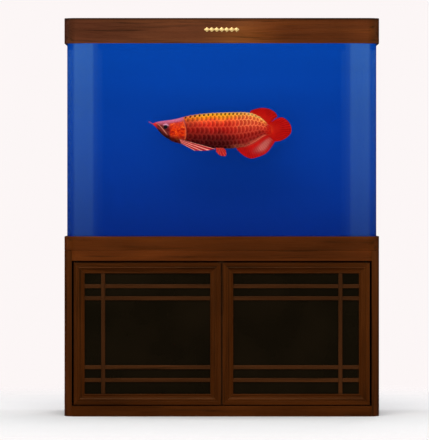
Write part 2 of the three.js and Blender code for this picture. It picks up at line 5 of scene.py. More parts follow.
import bmesh
import bpy
import numpy as np
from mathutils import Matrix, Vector


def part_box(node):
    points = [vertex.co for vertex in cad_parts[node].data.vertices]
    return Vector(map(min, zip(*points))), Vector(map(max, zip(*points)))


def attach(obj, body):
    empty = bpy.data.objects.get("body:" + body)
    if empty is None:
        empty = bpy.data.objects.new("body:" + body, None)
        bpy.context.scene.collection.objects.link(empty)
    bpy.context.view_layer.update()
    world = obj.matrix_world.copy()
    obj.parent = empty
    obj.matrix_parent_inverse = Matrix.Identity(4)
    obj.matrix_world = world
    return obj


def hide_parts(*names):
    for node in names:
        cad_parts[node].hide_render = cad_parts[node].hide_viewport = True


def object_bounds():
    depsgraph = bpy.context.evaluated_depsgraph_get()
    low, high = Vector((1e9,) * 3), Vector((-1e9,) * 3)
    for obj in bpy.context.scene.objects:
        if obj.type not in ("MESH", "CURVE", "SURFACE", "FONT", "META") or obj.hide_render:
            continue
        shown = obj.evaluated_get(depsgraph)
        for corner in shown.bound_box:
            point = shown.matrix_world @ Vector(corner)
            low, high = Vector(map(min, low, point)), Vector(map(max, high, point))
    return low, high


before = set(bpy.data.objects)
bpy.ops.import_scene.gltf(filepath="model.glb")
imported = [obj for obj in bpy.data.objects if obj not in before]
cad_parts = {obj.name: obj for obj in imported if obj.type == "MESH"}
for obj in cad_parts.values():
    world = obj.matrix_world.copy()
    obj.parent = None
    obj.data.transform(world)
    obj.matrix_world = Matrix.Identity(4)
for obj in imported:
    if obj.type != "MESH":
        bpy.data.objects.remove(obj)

CAD_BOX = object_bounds()
MM = 0.001
STAND = "stand_and_tank"


def put(item, **settings):
    for key, value in settings.items():
        setattr(item, key, value)
    return item


def placed(name, data, **settings):
    """A new object in the scene."""
    item = put(bpy.data.objects.new(name, data), **settings)
    bpy.context.scene.collection.objects.link(item)
    return item


# ---- colours and shader building
def rgb(red, green, blue):
    """A display colour in 0 to 255 as the linear colour that a shader takes."""

    def linear(level):
        level /= 255
        return level / 12.92 if level <= 0.04045 else ((level + 0.055) / 1.055) ** 2.4

    return (linear(red), linear(green), linear(blue), 1.0)


class Nodes:
    """A node tree under construction: most methods add one node and return its output."""

    def __init__(self, tree):
        self.tree = tree

    def fill(self, node, inputs):
        for key, value in inputs.items():
            if isinstance(value, bpy.types.NodeSocket):
                self.tree.links.new(value, node.inputs[key])
            else:
                node.inputs[key].default_value = value

    def add(self, kind, inputs=None, output=0, **settings):
        node = put(self.tree.nodes.new("ShaderNode" + kind), **settings)
        self.fill(node, inputs or {})
        return node.outputs[output]

    def place(self, scale=(1, 1, 1), sway=0.0, sway_scale=1.5):
        """Object coordinates, swayed by a slow noise and then scaled along each axis."""
        at = self.add("TexCoord", output="Object")
        if sway:
            drift = self.add("TexNoise", {"Vector": at, "Scale": sway_scale, "Detail": 2.0}, output="Color")
            centred = self.add("VectorMath", {0: drift, 1: (0.5, 0.5, 0.5)}, operation="SUBTRACT")
            grown = self.add("VectorMath", {0: centred, "Scale": sway}, operation="SCALE")
            at = self.add("VectorMath", {0: at, 1: grown}, operation="ADD")
        return self.add("Mapping", {"Vector": at, "Scale": scale})

    def noise(self, at=None, scale=1.0, detail=3.0, roughness=0.5, distortion=0.0):
        inputs = {"Vector": at or self.place(), "Scale": scale, "Detail": detail}
        return self.add("TexNoise", {**inputs, "Roughness": roughness, "Distortion": distortion})

    def ramp(self, value, stops):
        node = self.tree.nodes.new("ShaderNodeValToRGB")
        elements = node.color_ramp.elements
        while len(elements) < len(stops):
            elements.new(1.0)
        for element, (place, colour) in zip(elements, stops):
            put(element, position=place, color=colour)
        self.tree.links.new(value, node.inputs[0])
        return node.outputs[0]

    def shades(self, value, *stops):
        """A ramp through (place, red, green, blue) in display levels."""
        return self.ramp(value, [(place, rgb(*levels)) for place, *levels in stops])

    def range(self, value, start, end, low=0.0, high=1.0, smooth=False):
        inputs = {"Value": value, "From Min": start, "From Max": end, "To Min": low, "To Max": high}
        kind = "SMOOTHSTEP" if smooth else "LINEAR"
        return self.add("MapRange", inputs, interpolation_type=kind)

    def spread(self, noise, low=0.0, high=1.0):
        """Stretches the usual values of a noise, 0.3 to 0.7, to low and high."""
        return self.range(noise, 0.3, 0.7, low, high)

    def math(self, operation, first, second):
        return self.add("Math", {0: first, 1: second}, operation=operation)

    def times(self, first, second):
        return self.math("MULTIPLY", first, second)

    def measure(self, operation, *vectors):
        """A number made from one or two vectors."""
        return self.add("VectorMath", dict(enumerate(vectors)), output="Value", operation=operation)

    def mix(self, amount, first, second, blend="MIX"):
        inputs = {0: amount, 6: first, 7: second}
        return self.add("Mix", inputs, output=2, data_type="RGBA", blend_type=blend)

    def tint(self, colour, tint):
        return self.mix(1.0, colour, tint, "MULTIPLY")

    def axis(self, name):
        """One object coordinate, in metres."""
        return self.add("SeparateXYZ", {0: self.add("TexCoord", output="Object")}, output=name)

    def field(self, name):
        """A number stored per point of the mesh."""
        return self.add("Attribute", output="Fac", attribute_name=name)

    def bump(self, height, strength, distance):
        return self.add("Bump", {"Height": height, "Strength": strength, "Distance": distance})

    def edges(self, radius):
        """Rises from 0 on flat stretches to 1 on the rounded edges of a piece."""
        soft = self.add("Bevel", {"Radius": radius}, samples=4)
        sharp = self.add("NewGeometry", output="Normal")
        along = self.measure("DOT_PRODUCT", soft, sharp)
        return self.range(along, 0.995, 0.86)


class Shader(Nodes):
    """A material whose surface is one principled shader."""

    def __init__(self, name):
        self.material = put(bpy.data.materials.new(name), use_nodes=True)
        super().__init__(self.material.node_tree)
        self.tree.nodes.clear()
        self.surface = self.tree.nodes.new("ShaderNodeBsdfPrincipled")
        self.output = self.tree.nodes.new("ShaderNodeOutputMaterial")
        self.tree.links.new(self.surface.outputs[0], self.output.inputs["Surface"])

    def finish(self, colour, roughness, normal=None, specular=0.5, **more):
        """Fills the surface's inputs, and returns the material."""
        inputs = {"Base Color": colour, "Roughness": roughness, "Specular IOR Level": specular}
        if normal:
            inputs["Normal"] = normal
        self.fill(self.surface, inputs | {key.replace("_", " "): value for key, value in more.items()})
        return self.material


# ---- materials
WARM = (1.0, 0.55, 0.26, 1.0)  # lacquer lends its own colour to what it mirrors
WOOD_TONES = {
    "hood": [(38, 19, 9), (74, 36, 19), (90, 46, 26), (110, 60, 30)],
    "cornice": [(29, 11, 2), (60, 23, 3), (74, 30, 5), (91, 41, 9)],
    "rail": [(34, 12, 2), (68, 27, 4), (82, 34, 6), (98, 45, 10)],
    "post": [(27, 11, 2), (56, 23, 4), (68, 29, 5), (81, 37, 9)],
    "door": [(23, 8, 1), (50, 19, 2), (61, 25, 3), (74, 33, 6)],
    "bar": [(26, 11, 3), (47, 22, 7), (57, 28, 10), (68, 35, 13)],
    "board": [(24, 14, 8), (48, 30, 18), (60, 38, 23), (74, 48, 30)],
}


def wood(name, tone, along, roughness=0.27, patch=None, painted_shade_and_tone=(), specular=0.25):
    """Lacquered wood with its grain along one axis.

    `patch` is an oval of painted warm light as (scale, centre times scale, tint), and the argument after it
    lists bands of painted shade and of tone as (axis, start, end, tint). A tint multiplies the wood's colour.
    """
    s = Shader(name)

    def stretched(across, length):
        return tuple(length if axis == along else across for axis in "xyz")

    figure = s.noise(s.place(stretched(26, 1.3), sway=0.05), detail=5.0, roughness=0.6, distortion=0.4)
    streaks = s.noise(s.place(stretched(75, 2.2), sway=0.03), detail=4.0, roughness=0.55)
    fibres = s.noise(s.place(stretched(420, 9), sway=0.01), detail=3.0)
    pores = s.noise(s.place(stretched(1300, 45)), detail=1.0)
    patches = s.noise(scale=3.1, detail=2.0)

    dark, low, mid, light = (rgb(*tone_rgb) for tone_rgb in WOOD_TONES[tone])
    colour = s.ramp(figure, [(0.3, low), (0.5, mid), (0.72, light)])
    colour = s.mix(s.range(streaks, 0.44, 0.3, 0.0, 0.8, smooth=True), colour, dark)
    colour = s.mix(s.range(fibres, 0.35, 0.65, 0.0, 0.35), colour, low)
    pore = s.range(pores, 0.36, 0.26)
    colour = s.mix(s.times(pore, 0.55), colour, dark)
    colour = s.tint(colour, s.spread(patches, 0.78, 1.18))
    # A warm oval of painted light brightens the wood, where one is given.
    if patch:
        scale, centre, tint = patch
        near = s.measure("DISTANCE", s.place(scale), centre)
        colour = s.mix(s.range(near, 1.0, 0.0, 0.0, 0.75, smooth=True), colour, s.tint(colour, tint))
    wear = s.times(s.edges(0.0025), s.range(patches, 0.35, 0.75, 0.0, 0.35))
    colour = s.mix(wear, colour, light)
    # Bands of painted shade and bands of tone multiply the colour, where given.
    for axis, start, end, tint in painted_shade_and_tone:
        banded = s.tint(colour, (*tint, 1.0))
        colour = s.mix(s.range(s.axis(axis), start, end, smooth=True), colour, banded)

    gloss = s.spread(fibres, roughness - 0.05, roughness + 0.09)
    gloss = s.math("ADD", gloss, s.times(wear, 0.15))
    relief = s.bump(s.math("SUBTRACT", s.times(fibres, 0.5), pore), 0.18, 0.0005)
    return s.finish(colour, gloss, relief, specular, Specular_Tint=WARM)


def scaled(colour, factor, lift=0.0):
    return (*(min(1.0, factor * level + lift) for level in colour[:3]), 1.0)


def moulded(name, colour, roughness, grain=900.0, depth=0.12, mottle=0.12):
    """Plastic, rubber or foam: a fine texture, slight mottling and scuffed edges."""
    s = Shader(name)
    fine = s.noise(scale=grain, detail=2.0)
    broad = s.noise(scale=14.0)
    base = s.tint(colour, s.spread(broad, 1 - mottle, 1 + mottle))
    scuffs = s.times(s.edges(0.0015), s.range(broad, 0.4, 0.7, 0.0, 0.4))
    base = s.mix(scuffs, base, scaled(colour, 2.2, 0.02))
    gloss = s.spread(broad, roughness - 0.06, roughness + 0.06)
    return s.finish(base, gloss, s.bump(fine, depth, 0.0004))


def metal(name, colour, roughness):
    """Brushed or drawn metal with fine scratches from side to side."""
    s = Shader(name)
    lines = s.noise(s.place((18, 1500, 1500)), detail=2.0)
    broad = s.noise(scale=20.0)
    base = s.mix(s.spread(broad, 0.0, 0.25), colour, scaled(colour, 0.6))
    gloss = s.spread(lines, roughness - 0.06, roughness + 0.1)
    return s.finish(base, gloss, s.bump(lines, 0.08, 0.0002), Metallic=1.0)


def gilt():
    """Gold leaf: only partly metallic, so that it stays bright in a dim surround."""
    s = Shader("gold_leaf")
    fine = s.noise(scale=420.0)
    base = s.mix(s.spread(fine), rgb(226, 172, 92), rgb(250, 222, 156))
    gloss = s.spread(fine, 0.24, 0.4)
    return s.finish(base, gloss, s.bump(fine, 0.15, 0.0003), Metallic=0.35)


def clear(name, colour, ior, roughness=0.0):
    return Shader(name).finish(colour, roughness, Transmission_Weight=1.0, IOR=ior)


def blue_film():
    """The backdrop: a printed film that runs from a bright blue at the top to a deep one at the bottom;
    the brighter top is also painted light from the lamp above, and the film glows with painted light.
    """
    s = Shader("blue_backdrop_film_painted_glow")
    low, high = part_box("backdrop_film")
    height = s.range(s.axis("Z"), low.z, high.z)
    drift = s.noise(s.place((0.6, 1, 2.2)), scale=1.4, detail=2.0)
    height = s.math("ADD", height, s.spread(drift, -0.04, 0.04))
    mottle = s.noise(scale=700.0, detail=1.0)
    gloss = s.spread(mottle, 0.42, 0.55)
    # Bright at the top and deep at the bottom: print, with painted light from the lamp above.
    deep = [(0.0, 2, 33, 114), (0.3, 2, 46, 135), (0.62, 2, 58, 156)]
    blue = s.shades(height, *deep, (0.82, 3, 70, 176), (1.0, 6, 88, 210))
    # The film glows with painted light in the colours of its print.
    return s.finish(blue, gloss, specular=0.03, Emission_Color=blue, Emission_Strength=0.42)


def woolly(name, colour, cell, depth):
    """Sponge or felted wool: open cells with painted shade in their hollows."""
    s = Shader(name)
    at = s.place(sway=0.004, sway_scale=60.0)
    cells = s.add("TexVoronoi", {"Vector": at, "Scale": cell}, output="Distance")
    hairs = s.noise(at, scale=cell * 1.7, detail=4.0)
    hollow = s.range(cells, 0.15, 0.6)
    # Painted shade darkens the hollows of the cells.
    base = s.mix(s.times(hollow, 0.6), colour, scaled(colour, 0.35))
    base = s.mix(s.range(hairs, 0.4, 0.7, 0.0, 0.4), base, scaled(colour, 1.3))
    relief = s.math("SUBTRACT", hairs, hollow)
    return s.finish(base, 0.95, s.bump(relief, 0.9, depth), Sheen_Weight=0.2)


def lit_diffuser():
    s = Shader("opal_diffuser")
    ribs = s.add("TexWave", {"Vector": s.place(), "Scale": 90.0})
    colour = s.mix(s.range(ribs, 0.2, 0.8, 0.0, 0.12), (0.93, 0.97, 1.0, 1), (0.7, 0.8, 0.95, 1))
    glow = (0.8, 0.92, 1.0, 1.0)
    return s.finish(colour, 0.5, s.bump(ribs, 0.2, 0.0005), Emission_Color=glow, Emission_Strength=2.0)


def black_glass():
    """The dark door panels: nearly black, with a satin surface that isn't quite even."""
    s = Shader("smoked_panel")
    broad = s.noise(scale=5.0)
    fine = s.noise(scale=260.0, detail=2.0)
    base = s.mix(s.spread(broad), rgb(13, 9, 4), rgb(19, 13, 6))
    gloss = s.spread(broad, 0.14, 0.24)
    return s.finish(base, gloss, s.bump(fine, 0.03, 0.0003), 0.2, Specular_Tint=WARM)


HOOD_LOW, HOOD_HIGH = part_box("hood_fascia")
# The hood's rounded top edge and rounded ends are darker with painted shade, its right half more orange, and
# its left end redder.
HOOD_PAINTED_SHADE_AND_TONE = [
    ("Z", HOOD_HIGH.z - 0.014, HOOD_HIGH.z - 0.001, (0.3, 0.3, 0.3)),
    ("X", HOOD_HIGH.x - 0.05, HOOD_HIGH.x, (0.64, 0.7, 0.7)),
    ("X", HOOD_LOW.x + 0.05, HOOD_LOW.x, (0.64, 0.7, 0.8)),
    ("X", 0.0, 0.25, (0.97, 0.76, 0.42)),
    ("X", -0.25, -0.5, (0.97, 0.9, 1.0)),
]
# The painted pool of warm light is wide and low, and lies low on the hood, right of its middle.
HOOD_PAINTED_GLOW = (5.2, 0.0, 15.0), (0.46, 0.0, 15.0 * (HOOD_HIGH.z - 0.07)), (2.3, 2.5, 1.3, 1.0)
# The materials by short name.
M = {
    "hood_x": wood("hood_wood", "hood", "x", 0.25, HOOD_PAINTED_GLOW, HOOD_PAINTED_SHADE_AND_TONE),
    "lid_x": wood("lid_wood", "hood", "x", 0.45, specular=0.08),
    "cornice_x": wood("cornice_wood", "cornice", "x"),
    "rail_x": wood("rail_wood", "rail", "x"),
    "post_z": wood("post_wood", "post", "z"),
    "side_z": wood("side_wood", "post", "z", 0.3),
    "door_x": wood("door_wood_across", "door", "x"),
    "door_z": wood("door_wood_upright", "door", "z"),
    "bar_x": wood("bar_wood_across", "bar", "x"),
    "bar_z": wood("bar_wood_upright", "bar", "z"),
    "board_x": wood("plain_board", "board", "x", 0.6),
    "panel": black_glass(),
    "glass": clear("tank_glass", (0.975, 1.0, 0.99, 1.0), 1.5),
    "water": clear("tank_water", (0.93, 0.98, 1.0, 1.0), 1.333),
    "silicone": clear("clear_silicone", (0.85, 0.92, 0.98, 1.0), 1.06, 0.25),
    "film": blue_film(),
    "film_back": moulded("backdrop_film_back", rgb(16, 34, 66), 0.6, 300, 0.2, 0.05),
    "foam": moulded("closed_cell_foam", rgb(24, 24, 25), 0.85, 400, 0.4),
    "steel": metal("plain_steel", (0.62, 0.63, 0.65, 1.0), 0.3),
    "black_steel": metal("blackened_steel", (0.08, 0.065, 0.055, 1.0), 0.5),
    "aluminium": metal("anodised_aluminium", (0.72, 0.73, 0.75, 1.0), 0.36),
    "gold": gilt(),
    "opal": lit_diffuser(),
    "black": moulded("black_plastic", rgb(26, 27, 29), 0.45),
    "grey": moulded("grey_plastic", rgb(140, 144, 148), 0.42),
    "sponge": woolly("filter_sponge_cells", rgb(38, 43, 50), 420.0, 0.002),
    "wool": woolly("filter_wool_felt", rgb(232, 230, 220), 300.0, 0.002),
}


# ---- finishing of the CAD pieces
def keep_flat(piece):
    put(piece.modifiers.new("flat faces stay flat", "WEIGHTED_NORMAL"), keep_sharp=True)


def dress(node, material, bevel):
    """Gives a CAD node its material, rounds its edges and smooths its curves."""
    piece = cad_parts[node]
    mesh = piece.data
    mesh.materials.clear()
    mesh.materials.append(material)
    if "custom_normal" in mesh.attributes:
        mesh.attributes.remove(mesh.attributes["custom_normal"])
    mesh.polygons.foreach_set("use_smooth", [True] * len(mesh.polygons))
    put(piece.modifiers.new("weld", "WELD"), merge_threshold=0.02 * MM)
    merge = piece.modifiers.new("merge flat faces", "DECIMATE")
    put(merge, decimate_type="DISSOLVE", angle_limit=math.radians(0.8))
    rounding = piece.modifiers.new("round edges", "BEVEL")
    put(rounding, width=bevel * MM, segments=3, limit_method="ANGLE", angle_limit=math.radians(32))
    rounding.harden_normals = True
    keep_flat(piece)


# The CAD nodes that are shown, by material and rounding of edges in millimetres; * stands for left and right.
CAD_LOOKS = {
    ("post_z", 0.8): "stand_post_*",
    ("rail_x", 1.2): "stand_top_rail",
    ("door_x", 1.5): "stand_plinth",
    ("side_z", 1.0): "stand_side_panel_*",
    ("board_x", 0.6): "stand_back_panel stand_floor_board stand_divider stand_top_board",
    ("board_x", 0.8): "hood_back_panel",
    ("lid_x", 1.0): "hood_rear_deck",
    ("lid_x", 1.2): "hood_lid_*",
    ("panel", 0.5): "door_*_panel",
    ("black_steel", 0.5): "door_*_pin_top door_*_pin_bottom",
    ("steel", 0.4): "touch_latch_plunger_*",
    ("steel", 0.2): "lid_hinge_fixed_leaf lid_hinge_leaf_*",
    ("aluminium", 0.8): "lamp_carrier",
    ("aluminium", 1.0): "lamp_housing",
    ("opal", 0.8): "lamp_diffuser",
    ("grey", 0.8): "touch_latch_body_*",
    ("grey", 0.3): "pump_impeller spray_bar",
    ("black", 0.8): "filter_trough pump_body",
    ("black", 0.5): "suction_pipe",
    ("sponge", 1.5): "filter_sponge",
    ("wool", 2.0): "filter_wool",
    ("foam", 0.5): "base_foam_mat",
    ("silicone", 0.5): "silicone_bead",
    ("glass", 0.8): "glass_rear glass_base glass_brace_front glass_brace_rear",
}
for (material, bevel), nodes in CAD_LOOKS.items():
    for node in nodes.split():
        for side in ("left", "right") if "*" in node else ("",):
            dress(node.replace("*", side), M[material], bevel)


# ---- mesh building
def new_piece(name, shape, materials, slot, replaced=(), body=STAND, smooth=True, second=None):
    """A piece from (points, faces) in the row frame that rides on a body and stands for CAD nodes.

    `materials` are names in M: the faces that `second` picks out have the second, and the others the first.
    """
    points, faces = shape
    mesh = bpy.data.meshes.new(name)
    mesh.from_pydata([tuple(p) for p in points], [], faces)
    for material in materials.split():
        mesh.materials.append(M[material])
    piece = placed(name, mesh)
    bm = bmesh.new()
    bm.from_mesh(mesh)
    bmesh.ops.recalc_face_normals(bm, faces=bm.faces)
    bm.to_mesh(mesh)
    bm.free()
    for face in mesh.polygons:
        face.use_smooth = smooth
        face.material_index = int(second is not None and second(face))
    if smooth:
        mesh.set_sharp_from_angle(angle=math.radians(38))
        keep_flat(piece)
    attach(piece, body)
    if replaced:
        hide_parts(*replaced)
    return piece


def tube(rings, around):
    """Faces of a tube of `rings` rings with `around` points each, closed at both ends."""
    faces = []
    for start in range(0, (rings - 1) * around, around):
        for k in range(around):
            after = (k + 1) % around
            faces.append((start + k, start + after, start + around + after, start + around + k))
    last = (rings - 1) * around
    return faces + [tuple(range(around))[::-1], tuple(range(last, last + around))]


def taken(bm):
    """The (points, faces) of a bmesh, which is freed."""
    shape = [tuple(v.co) for v in bm.verts], [tuple(v.index for v in f.verts) for f in bm.faces]
    bm.free()
    return shape


def outline(half, front, back, radius, steps=24):
    """Plan points from the left back, round the two front corners, to the right back."""
    points = [(-half, back)]
    for side, start in ((-1, math.pi), (1, 1.5 * math.pi)):
        for i in range(steps + 1):
            turn = start + 0.5 * math.pi * i / steps
            across = side * (half - radius) + radius * math.cos(turn)
            points.append((across, front + radius + radius * math.sin(turn)))
    return points + [(half, back)]


def rounded_section(low, high, radius):
    """A rectangle's section with rounded edges, as (side, inset, height): side 0 is outer, and 1 inner."""
    section = []
    for side, end, turn in ((0, low, -1), (0, high, 1), (1, high, 1), (1, low, -1)):
        corner = []
        for angle in np.linspace(0, 0.5 * math.pi, 5):
            inset, drop = radius * (1 - math.cos(angle)), radius * (1 - math.sin(angle))
            corner.append((side, inset, end - turn * drop))
        section += corner if (side, turn) in ((0, 1), (1, -1)) else corner[::-1]
    return section


def band(outer, inner, section):
    """A section swept between an outer and an inner plan line, closed at both ends."""
    points = []
    for start, end in zip(outer, inner):
        start, end = Vector(start), Vector(end)
        across = (end - start).normalized()
        for side, inset, height in section:
            spot = end - inset * across if side else start + inset * across
            points.append((*spot, height))
    return points, tube(len(outer), len(section))


def joined(*parts):
    """Several (points, faces) meshes as one."""
    points, faces = [], []
    for more_points, more_faces in parts:
        start = len(points)
        points += list(more_points)
        faces += [tuple(start + i for i in face) for face in more_faces]
    return points, faces


def rounded_bar(low, high, radius):
    """A bar between two corners with rounded edges."""
    bm = bmesh.new()
    bmesh.ops.create_cube(bm, size=1.0)
    for vert in bm.verts:
        vert.co = [b if c > 0 else a for a, b, c in zip(low, high, vert.co)]
    bmesh.ops.bevel(bm, geom=list(bm.edges), offset=radius, segments=3, profile=0.5, affect="EDGES")
    return taken(bm)


# ---- hood and cornice
GLASS_LOW, GLASS_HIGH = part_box("glass_bent_front")
GLASS_RADIUS = 105 * MM
GLASS_THICK = 10 * MM
WOOD_RADIUS = 45 * MM
WOOD_THICK = 7 * MM  # of the hood's and the cornice's wooden bands


def wooden_band(name, node, inner_radius, material, slot, *more):
    """The hood's fascia or the cabinet's cornice: rounded wood round the front and the sides."""
    low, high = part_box(node)
    outer = outline(high.x, low.y, high.y, WOOD_RADIUS)
    inner = outline(high.x - WOOD_THICK, low.y + WOOD_THICK, high.y, inner_radius)
    edge = 2.2 * MM
    rim = band(outer, inner, rounded_section(low.z, high.z, edge))
    new_piece(name, joined(rim, *more), material, slot, [node])


def ledge():
    """The hood's inner ledge, between the rim of the glass and the lids."""
    low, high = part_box("hood_fascia")
    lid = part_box("hood_lid_right")[0]
    depth, bite, gap = 15 * MM, MM, 0.5 * MM
    back = GLASS_HIGH.y - 15 * MM
    start, end = WOOD_THICK - bite, WOOD_THICK + depth
    outer = outline(high.x - start, low.y + start, back, GLASS_RADIUS + 2 * bite)
    inner = outline(high.x - end, low.y + end, back, GLASS_RADIUS + bite - depth)
    return band(outer, inner, rounded_section(GLASS_HIGH.z + gap, lid.z - gap, MM))


def ornament():
    """A row of linked gilt diamonds with raised points, in place of any mark."""
    low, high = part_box("hood_ornament")
    diamonds = 7
    rings = 2 * diamonds + 1
    step = (high.x - low.x) / (rings - 1)
    middle, tall = 0.5 * (low.z + high.z), 0.5 * (high.z - low.z)
    back, rim = low.y + 1.6 * MM, low.y - 0.8 * MM
    points = []
    for k in range(rings):
        half, raised = (tall, 3.4 * MM) if k % 2 else (1.8 * MM, 1.8 * MM)
        if k in (0, rings - 1):
            half, raised = 0.6 * MM, MM
        section = [(back, -half), (back, half), (rim, half), (low.y - raised, 0.0), (rim, -half)]
        points += [(low.x + k * step, y, middle + z) for y, z in section]
    new_piece("gilt_ornament", (points, tube(rings, 5)), "gold", "gold", ["hood_ornament"], smooth=False)


wooden_band("hood_fascia_band", "hood_fascia", GLASS_RADIUS + MM, "hood_x", "hood_wood", ledge())
ornament()
wooden_band("stand_cornice_band", "stand_cornice", GLASS_RADIUS, "cornice_x", "stand_wood")


# ---- glass and water
BITE = 0.5 * MM  # how far the water and the film reach into the glass, so that no air lies between


def glass_outline(inset, back):
    """The plan line that lies `inset` inside the tank's outer face."""
    return outline(GLASS_HIGH.x - inset, GLASS_LOW.y + inset, back, GLASS_RADIUS - inset, 32)


def bent_glass():
    back = GLASS_HIGH.y
    section = rounded_section(GLASS_LOW.z, GLASS_HIGH.z, MM)
    sheet = band(glass_outline(0.0, back), glass_outline(GLASS_THICK, back), section)
    return new_piece("bent_glass_sheet", sheet, "glass", "clear_glass", ["glass_bent_front"])


def water():
    """Water up to a few millimetres below the braces."""
    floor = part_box("glass_base")[1].z - BITE
    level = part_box("glass_brace_front")[0].z - 5 * MM
    ring = glass_outline(GLASS_THICK - BITE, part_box("glass_rear")[0].y + BITE)
    points = [(x, y, z) for z in (floor, level) for x, y in ring]
    return new_piece("tank_water", (points, tube(2, len(ring))), "water", "clear_glass")


def backdrop():
    """The film on the rear glass: printed on the face that looks into the tank, and dull behind."""
    low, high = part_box("backdrop_film")
    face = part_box("glass_rear")[1].y - BITE
    sheet = rounded_bar((low.x, face, low.z), high, 0.15 * MM)
    looks = "film film_back", "blue_film", ["backdrop_film"]
    new_piece("backdrop_film_sheet", sheet, *looks, second=lambda face: face.normal.y > -0.9)


backdrop()
for pane in [bent_glass(), water()] + [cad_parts[node] for node in CAD_LOOKS["glass", 0.8].split()]:
    pane.visible_shadow = False


# ---- inside the cabinet
def corner_battens():
    """Upright battens that hold the back panel to the sides and close the joints between them."""
    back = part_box("stand_back_panel")[0].y
    foot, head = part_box("stand_floor_board")[1].z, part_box("stand_top_board")[0].z
    width, bite = 14 * MM, 0.3 * MM
    left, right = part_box("stand_side_panel_left")[1].x - bite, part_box("stand_side_panel_right")[0].x + bite
    spans = (left, left + width), (right - width, right)
    battens = [rounded_bar((start, back - width, foot), (end, back + bite, head), MM) for start, end in spans]
    new_piece("rear_corner_battens", joined(*battens), "board_x", "bare_board")


corner_battens()


# ---- doors
def arc(centre, radius, start, end, steps):
    """Points (across, forward) on an arc between two angles in degrees."""
    turns = [math.radians(start + (end - start) * i / steps) for i in range(steps + 1)]
    return [(centre[0] + radius * math.cos(t), centre[1] + radius * math.sin(t)) for t in turns]


# The section of a door's frame in millimetres: across from its outer edge, and forward from its back.
FRAME_SECTION = (
    [(0, 0)]
    + arc((0.7, 18.8), 0.7, 180, 90, 3)
    + [(13.2, 19.5)]
    + arc((15.6, 19.3), 1.7, 180, 360, 8)
    + arc((19.8, 17.6), 2.4, 115, 30, 6)
    + arc((29.0, 23.0), 10.2, 212, 262, 7)
    + [(32.6, 12.4), (34.4, 12.4)]
    + arc((36.6, 12.4), 1.7, 165, 90, 4)
    + arc((39.5, 12.6), 1.5, 90, 0, 4)
    + [(41, 7.5), (30, 7.5), (30, 0)]
)


def member(place):
    """One mitred member: `place(across, forward, end)` gives the point in the row frame."""
    points = [place(a * MM, f * MM, end) for end in (0, 1) for a, f in FRAME_SECTION]
    return points, tube(2, len(FRAME_SECTION))


def door_frame(door):
    low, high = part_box(f"{door}_bottom_rail")
    left, right, rear = low.x, high.x, high.y
    foot, head = low.z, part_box(f"{door}_top_rail")[1].z
    gap = 0.15 * MM

    def along(low, high, across, end):
        return high - across - gap if end else low + across + gap

    stiles = [
        member(lambda a, f, e: (left + a, rear - f, along(foot, head, a, e))),
        member(lambda a, f, e: (right - a, rear - f, along(foot, head, a, e))),
    ]
    rails = [
        member(lambda a, f, e: (along(left, right, a, e), rear - f, foot + a)),
        member(lambda a, f, e: (along(left, right, a, e), rear - f, head - a)),
    ]
    stile_faces = sum(len(faces) for _, faces in stiles)
    replaced = [f"{door}_{part}" for part in ("hinge_stile", "meeting_stile", "top_rail", "bottom_rail")]
    looks = "door_z door_x", "door_wood", replaced, door
    shape = joined(*stiles, *rails)
    new_piece(f"{door}_moulded_frame", shape, *looks, second=lambda face: face.index >= stile_faces)


# The lattice in millimetres: the bars' width, the upright's place from the hinge side of the opening, and
# the places of the level bars from the foot and from the top of the opening.
BAR_WIDTH, UPRIGHT_PLACE = 15.5, 62.5
FOOT_ROWS, TOP_ROWS = (44.5, 93.5), (40.5, 86.5)


def lattice(door, hinge):
    """Two bars near the top, two near the bottom and an upright on the hinge side, with butted crossings."""
    low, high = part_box(f"{door}_lattice")
    width, edge, seam, recess = BAR_WIDTH * MM, 1.3 * MM, 0.2 * MM, 0.3 * MM
    outer = high.x if hinge > 0 else low.x
    upright = sorted(outer - hinge * place for place in (UPRIGHT_PLACE * MM, UPRIGHT_PLACE * MM + width))
    feet = [low.z + row * MM for row in FOOT_ROWS] + [high.z - row * MM - width for row in TOP_ROWS]
    bars = [rounded_bar((upright[0], low.y, low.z), (upright[1], high.y, high.z), edge)]
    upright_faces = len(bars[0][1])
    for foot in feet:
        for start, end in ((low.x, upright[0] - seam), (upright[1] + seam, high.x)):
            bars.append(rounded_bar((start, low.y + recess, foot), (end, high.y, foot + width), edge))
    looks = "bar_z bar_x", "door_wood", [f"{door}_lattice"], door
    new_piece(f"{door}_lattice_bars", joined(*bars), *looks, second=lambda face: face.index >= upright_faces)


for door, hinge in (("door_left", -1), ("door_right", 1)):
    door_frame(door)
    lattice(door, hinge)


# ---- arowana
FISH_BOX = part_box("arowana")
FISH_CENTRE = 0.5 * (FISH_BOX[0] + FISH_BOX[1]) + Vector((0.0, 0.0, MM))
# The tables below hold the lengths, in millimetres, of a grown fish; this one is a little smaller.
FISH_SIZE = np.array((0.942, 0.96, 0.905)) * MM
# Stations along the body: place, back, belly and half-width, from the snout to the tail's root.
STATIONS = np.array([
    (-280, 41, 36, 2), (-268, 46, 24, 7), (-250, 50, 0, 12), (-228, 53, -19, 16), (-200, 57, -34, 20),
    (-172, 64, -43, 23), (-140, 72, -50, 25.5), (-100, 79, -58, 27.5), (-50, 84, -64, 28.5),
    (10, 87, -66, 28.5), (60, 88, -63, 26.5), (95, 88, -56, 23), (125, 83, -43, 18.5), (150, 72, -28, 14),
    (172, 55, -14, 10.5), (190, 37, -7, 8), (202, 26, -3, 5),
])
SCALES_START, SCALES_END = -160.0, 196.0
SCALE_LENGTH = 20.0
SCALE_ROWS = 8.0
EYE = (-228.0, 25.0)


def on_fish(points):
    """Points in a grown fish's millimetres as points of the row frame."""
    return np.asarray(points, float) * FISH_SIZE + np.array(FISH_CENTRE)


